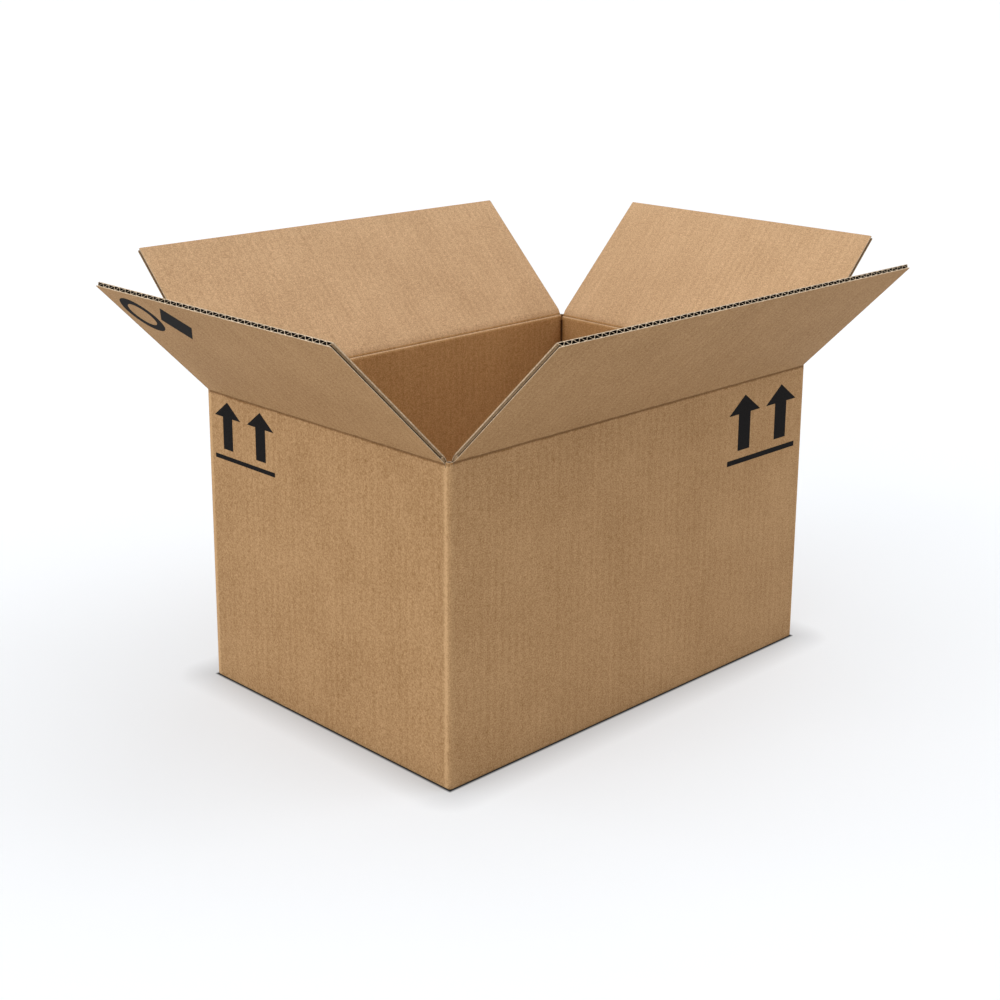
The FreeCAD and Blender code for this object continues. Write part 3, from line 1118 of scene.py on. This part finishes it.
@dataclass
class TopFlap:
    """One top flap with its crease, leaning out of the mouth on its own joint."""

    name: str
    body: str
    grain: Grain
    plan: Plan
    joint: dict
    finishes: Finishes
    below_crease: float
    end_hollow_shade: float = 0.7 * MM
    end_rim: float = 0.1 * MM

    @property
    def place(self) -> Matrix:
        """The placement of the outer crease line, the board still upright.

        Returns:
            The turn and shift that carry a drawn piece there.
        """
        short = self.grain is Grain.SHORT
        half = self.plan.half_length if short else self.plan.half_width
        crease = self.plan.short_crease if short else self.plan.long_crease
        x, y, _ = self.joint["axis"]
        turn = Matrix.Rotation(math.atan2(-y, -x), 4, "Z")
        return Matrix.Translation(crease * Z_AXIS + turn @ (-half * Y_AXIS)) @ turn

    @property
    def width(self) -> float:
        """The flap's size along its crease, from its CAD node."""
        low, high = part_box(self.name)
        return high.y - low.y if self.grain is Grain.SHORT else high.x - low.x

    @property
    def length(self) -> float:
        """The flap's size from its outer crease line to its free edge, from its CAD node.

        Returns:
            The size, measured along the leaning board.
        """
        lean = self.plan.lean
        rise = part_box(self.name)[1].z - self.place.translation.z
        return (rise - self.plan.board.thickness * math.sin(lean)) / math.cos(lean)

    def build_crease(self, section: CreaseSection) -> Piece:
        """Builds the crushed board across the crease, its ends hollow between the liners.

        Args:
            section: The crease's section.

        Returns:
            The crease strip.
        """
        half = self.width / 2
        corners = section.outline()
        strip = add_prism(self.name.replace("flap", "crease"), [corner[:2] for corner in corners],
                          -half, 2 * half)
        middles = [
            ((Vector(near[:2]) + Vector(far[:2])) / 2, near[2])
            for near, far in zip(corners, corners[1:] + corners[:1])
        ]
        with edit_mode(strip):
            pick(Part.FACES, lambda _, normal: abs(normal.x) > ALONG)
            bpy.ops.mesh.inset(thickness=self.plan.board.liner, depth=0, use_even_offset=True)
            bpy.ops.mesh.inset(thickness=TOUCH, depth=-self.end_hollow_shade, use_even_offset=True)

        def choose(centre: Vector, normal: Vector) -> Skin:
            """Chooses the skin of a face of the strip, by the nearest face of its section.

            Args:
                centre: The face's centre.
                normal: The face's normal.

            Returns:
                The skin.
            """
            flat = Vector((centre.y, centre.z))
            nearest = min(middles, key=lambda entry: (entry[0] - flat).length)[1]
            if abs(normal.x) > ALONG:
                on_rim = abs(centre.x) > half - self.end_rim and nearest is not Skin.CUT
                return Skin.SIDE if on_rim else Skin.FLUTED
            return nearest if abs(centre.x) < MM else Skin.FLUTED

        self.finishes.dress(strip, self.grain, choose)
        round_smooth(strip, angle=32)
        carry(strip, self.place)
        return strip

    def build(self) -> None:
        """Builds the flap and its crease strip, and hands the flap's layers to the frame; the crease strip is
        left unattached.
        """
        board, lean = self.plan.board, self.plan.lean
        section = CreaseSection(board, lean, self.below_crease)
        sheet = CorrugatedSheet(self.name, board, self.finishes, self.grain, self.width, section.up,
                                self.length)
        layers = sheet.build(self.place @ Matrix.Rotation(lean, 4, "X"))
        for layer in layers:
            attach(layer, self.body)
        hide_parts(self.name)
        strip = self.build_crease(section)
        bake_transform(strip)
        LOG.info("%s: %d layers and its crease", self.name, len(layers))


# Prints


@dataclass(frozen=True)
class UprightMark:
    """The handling mark: two arrows that point up over a bar, in X along the face and Z up it."""

    first_tip: Pair
    spacing: float
    head: Pair
    shaft: float
    height: float
    bar: Pair
    bar_gap: float

    def outlines(self) -> list[list[Pair]]:
        """The outlines of the two arrows and the bar.

        Returns:
            Three lists of corners.
        """
        shapes = []
        half_head, half_shaft = self.head[0] / 2, self.shaft / 2
        x, z = self.first_tip
        shoulder, foot = z - self.head[1], z - self.height
        for tip in (x, x + self.spacing):
            shapes.append([
                (tip, z), (tip + half_head, shoulder), (tip + half_shaft, shoulder),
                (tip + half_shaft, foot), (tip - half_shaft, foot),
                (tip - half_shaft, shoulder), (tip - half_head, shoulder),
            ])
        middle, top = x + self.spacing / 2, foot - self.bar_gap
        low, high = middle - self.bar[0] / 2, middle + self.bar[0] / 2
        shapes.append([(low, top), (high, top), (high, top - self.bar[1]), (low, top - self.bar[1])])
        return shapes


@dataclass
class Printer:
    """Prints flat shapes on a face as thin films of ink."""

    ink: Material
    film: float = 0.06 * MM
    bite: float = 0.03 * MM

    def stamp(self, name: str, outline: Sequence[Pair], place: Matrix, body: str) -> None:
        """Prints one closed shape.

        Args:
            name: The name of the piece.
            outline: Its corners in X along the face and Z up it.
            place: The placement of the face's frame, whose Y points into the board.
            body: The CAD body that the print rides on.
        """
        film = add_prism(name, outline, -self.film, self.film + self.bite)
        film.data.materials.append(self.ink)
        film.data.transform(Matrix(((0, 1, 0, 0), (1, 0, 0, 0), (0, 0, 1, 0), (0, 0, 0, 1))))
        with edit_mode(film):
            face_outwards()
        carry(film, place)
        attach(film, body)

    def ring(self, middle: Pair, radius: float, stroke: float) -> list[Pair]:
        """The outline of a ring, cut open at one hair-thin slit so that it is one closed line.

        Args:
            middle: Its middle.
            radius: Its outer radius.
            stroke: The width of its stroke.

        Returns:
            The corners, round the outside and back round the inside.
        """
        steps, slit = 40, 0.002
        angles = [slit + (2 * math.pi - 2 * slit) * step / steps for step in range(steps + 1)]
        points = []
        for size, order in ((radius, angles), (radius - stroke, angles[::-1])):
            points += [(middle[0] + size * math.cos(angle), middle[1] + size * math.sin(angle))
                       for angle in order]
        return points


@dataclass(frozen=True)
class Marks:
    """Everything that is printed on the carton."""

    front: UprightMark = UprightMark(
        first_tip=(136.0 * MM, 256.8 * MM), spacing=53.6 * MM, head=(45.0 * MM, 16.8 * MM),
        shaft=17.2 * MM, height=51.0 * MM, bar=(99.6 * MM, 4.8 * MM), bar_gap=7.2 * MM)
    left: UprightMark = UprightMark(
        first_tip=(-125.5 * MM, 261.2 * MM), spacing=46.3 * MM, head=(37.0 * MM, 13.9 * MM),
        shaft=13.6 * MM, height=42.8 * MM, bar=(84.4 * MM, 3.9 * MM), bar_gap=6.0 * MM)
    ring_middle: Pair = (-118 * MM, 120 * MM)
    ring_radius: float = 22 * MM
    ring_stroke: float = 8 * MM
    diamond_middle: Pair = (-70 * MM, 120 * MM)
    diamond_reach: float = 21 * MM

    def put_on(self, plan: Plan, printer: Printer) -> None:
        """Prints the arrows on the front and the left wall, and a plain mark on the left flap.

        Args:
            plan: The sizes of the carton.
            printer: What prints them.
        """
        front_face = frame_at((0, -plan.half_width, 0), X_AXIS, Y_AXIS)
        left_face = frame_at((-plan.half_length, 0, 0), -Y_AXIS, X_AXIS)
        for side, mark, place in (("front", self.front, front_face), ("left", self.left, left_face)):
            for label, outline in zip(("arrow_near", "arrow_far", "bar"), mark.outlines()):
                printer.stamp(f"{side}_{label}", outline, place, "case")
        lean = Matrix.Rotation(plan.lean, 4, "X")
        flap_face = frame_at((-plan.half_length, 0, plan.short_crease), -Y_AXIS, X_AXIS) @ lean
        ring = printer.ring(self.ring_middle, self.ring_radius, self.ring_stroke)
        printer.stamp("left_flap_ring", ring, flap_face, "left_lid")
        middle, up, reach = *self.diamond_middle, self.diamond_reach
        diamond = [(middle + reach, up), (middle, up + reach), (middle - reach, up), (middle, up - reach)]
        printer.stamp("left_flap_diamond", diamond, flap_face, "left_lid")
        LOG.info("prints: arrows on two walls, a plain mark on the left flap")


# Studio


@dataclass(frozen=True)
class Lamp:
    """A far, wide soft lamp. Its angles are in degrees."""

    name: str
    azimuth: float  # 0 in front of the front wall, -90 at the left one
    elevation: float
    spread: float  # how wide it looks
    strength: float  # in watts per square metre
    distance: float = 3.0

    def hang(self) -> None:
        """Hangs the lamp so that it shines on the carton."""
        data = bpy.data.lights.new(self.name, "SUN")
        data.angle, data.energy = math.radians(self.spread), self.strength
        lamp = bpy.data.objects.new(self.name, data)
        bpy.context.scene.collection.objects.link(lamp)
        turn, rise = math.radians(self.azimuth), math.radians(self.elevation)
        way = Vector((math.sin(turn) * math.cos(rise), -math.cos(turn) * math.cos(rise), math.sin(rise)))
        lamp.location = self.distance * way
        lamp.rotation_euler = (-way).to_track_quat("-Z", "Y").to_euler()


@dataclass(frozen=True)
class Studio:
    """A pale floor, soft lights and a camera at the photograph's place."""

    camera_place: tuple[float, float, float] = (-1.04775, -1.03914, 0.64132)
    yaw: float = 0.7792087
    pitch: float = 0.2542514
    roll: float = 0.0057106
    focal_pixels: float = 1694.04
    centre: Pair = (498.01, 387.74)
    frame_pixels: int = 1000
    sensor: float = 36.0
    clip: Pair = (0.01, 100.0)
    floor_size: float = 60.0
    floor_drop: float = 0.02 * MM
    floor_shade: Colour = (0.490, 0.503, 0.520)
    floor_glow: Colour = (0.452, 0.462, 0.475)
    # a painted shadow round the carton: weaker glow near it, and a thin line along its footprint painted
    # almost black
    shadow_glow: float = 0.5
    shadow_glow_reach: float = 35 * MM
    contact_shadow_light: float = 0.04
    contact_shadow_reach: float = 2.3 * MM
    room: float = 0.02
    backdrop: float = 1.1
    lamps: tuple[Lamp, ...] = (
        Lamp("top_lamp", 0.0, 85.0, 100.0, 1.70),
        Lamp("left_lamp", -90.0, 20.0, 60.0, 1.40),
        Lamp("right_lamp", 45.0, 20.0, 60.0, 1.13),
        Lamp("far_right_lamp", 90.0, 50.0, 60.0, 0.71),
        Lamp("far_left_lamp", -135.0, 20.0, 60.0, 0.75),
        Lamp("back_lamp", 180.0, 20.0, 60.0, 0.52),
    )

    def place_camera(self) -> None:
        """Sets the camera up from its solved place, turn and focal length."""
        data = bpy.data.cameras.new("camera")
        camera = bpy.data.objects.new("camera", data)
        bpy.context.scene.collection.objects.link(camera)
        data.sensor_width = self.sensor
        data.lens = self.focal_pixels * self.sensor / self.frame_pixels
        half = self.frame_pixels / 2
        data.shift_x = (half - self.centre[0]) / self.frame_pixels
        data.shift_y = (self.centre[1] - half) / self.frame_pixels
        data.clip_start, data.clip_end = self.clip
        turn = (Matrix.Rotation(-self.yaw, 4, "Z") @ Matrix.Rotation(math.pi / 2 - self.pitch, 4, "X")
                @ Matrix.Rotation(self.roll, 4, "Z"))
        camera.matrix_world = Matrix.Translation(self.camera_place) @ turn
        bpy.context.scene.camera = camera

    def lay_floor(self, half_size: Vector) -> None:
        """Lays a large pale floor that glows softly, with a painted shadow round the carton: its glow is
        weaker close round the carton and almost none under it, and a thin line along the footprint is painted
        almost black.

        Args:
            half_size: Half the length and half the width of the carton.
        """
        bpy.ops.mesh.primitive_plane_add(size=self.floor_size, location=(0, 0, -self.floor_drop))
        floor = bpy.context.object
        floor.name = "floor"
        settle(floor)
        material = bpy.data.materials.new("floor_paper")
        material.use_nodes = True
        bench = NodeBench(material.node_tree)
        place = bench.vectors("ABSOLUTE", {0: bench.add("TexCoord").outputs["Object"]})
        beyond = bench.vectors("SUBTRACT", {0: place, 1: half_size})
        outside = bench.vectors("MAXIMUM", {0: beyond, 1: (0, 0, 0)})
        away = bench.vectors("LENGTH", {0: outside}, "Value")
        # painted contact shadow: the floor's colour and glow fall almost to nothing at the carton's footprint
        light_left_by_contact_shadow = bench.ramp(away, 0.0, self.contact_shadow_reach, self.contact_shadow_light)
        glow = bench.maths("MULTIPLY", bench.ramp(away, 0.0, self.shadow_glow_reach, self.shadow_glow), light_left_by_contact_shadow)
        shader = material.node_tree.nodes["Principled BSDF"]
        for label, value in (
                ("Base Color", bench.vectors("SCALE", {0: self.floor_shade, "Scale": light_left_by_contact_shadow})),
                ("Emission Color", bench.vectors("SCALE", {0: self.floor_glow, "Scale": glow})),
                ("Emission Strength", 1.0), ("Roughness", 0.9), ("Specular IOR Level", 0.1)):
            bench.feed(shader, label, value)
        floor.data.materials.append(material)

    def light(self) -> None:
        """Lights the studio: an even white room and wide soft lamps."""
        scene = bpy.context.scene
        scene.view_settings.view_transform = "Standard"
        world = bpy.data.worlds.new("white_room")
        world.use_nodes = True
        bench = NodeBench(world.node_tree)
        white = (1, 1, 1, 1)
        room = world.node_tree.nodes["Background"]
        bench.feed(room, "Strength", self.room)
        bench.feed(room, "Color", white)
        seen = bench.add("Background", {"Color": white, "Strength": self.backdrop})
        path = bench.add("LightPath")
        mix = bench.add("MixShader", {0: path.outputs["Is Camera Ray"], 1: room.outputs[0],
                                      2: seen.outputs[0]})
        bench.feed(world.node_tree.nodes["World Output"], "Surface", mix.outputs[0])
        scene.world = world
        for lamp in self.lamps:
            lamp.hang()


# The whole carton


@dataclass
class Carton:
    """The whole carton: case, bottom, flaps and prints."""

    joints: Sequence[dict]
    board: Board = Board()
    flaps: tuple[tuple[str, str, Grain], ...] = (
        ("front_flap", "front_lid", Grain.LONG),
        ("back_flap", "back_lid", Grain.LONG),
        ("right_flap", "right_lid", Grain.SHORT),
        ("left_flap", "left_lid", Grain.SHORT),
    )

    def build_case(self, plan: Plan, finishes: Finishes) -> float:
        """Builds the walls, the bottom and the lap.

        Args:
            plan: The sizes of the carton.
            finishes: The materials.

        Returns:
            How far below the crease lines the walls end.
        """
        walls = CaseWalls(plan, finishes)
        tube = walls.build()
        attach(tube, "case")
        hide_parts("case_body")
        layers = CaseBottom(plan, finishes).build()
        for layer in layers:
            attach(layer, "case")
        LOG.info("case: walls and %d layers of bottom flaps and lap", len(layers))
        return walls.below_crease

    def build(self) -> None:
        """Builds the carton and hands its pieces to the frame, all but the crease strips, which are left
        unattached.
        """
        plan = Plan.read(self.joints, self.board)
        finishes = Finishes(self.board.pitch, Vector((plan.half_length, plan.half_width, 0)),
                            Vector((plan.inner_length, plan.inner_width, 0)),
                            {Grain.LONG: plan.long_crease, Grain.SHORT: plan.short_crease})
        below = self.build_case(plan, finishes)
        for name, body, grain in self.flaps:
            joint = next(joint for joint in self.joints if joint["child"] == body)
            TopFlap(name, body, grain, plan, joint, finishes, below).build()
        Marks().put_on(plan, Printer(finishes.ink()))


def main() -> None:
    """Loads the frame, builds the carton round it and sets up the studio."""
    logging.basicConfig(level=logging.INFO, format="%(name)s: %(message)s")
    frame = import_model()
    for item in bpy.context.view_layer.objects:
        item.select_set(False)
    case_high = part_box("case_body")[1]
    studio = Studio()
    studio.place_camera()
    studio.lay_floor(Vector((case_high.x, case_high.y, 0)))
    studio.light()
    LOG.info("studio: camera, floor and %d lamps", len(studio.lamps))
    Carton(frame["joints"]).build()


if __name__ == "__main__":
    main()
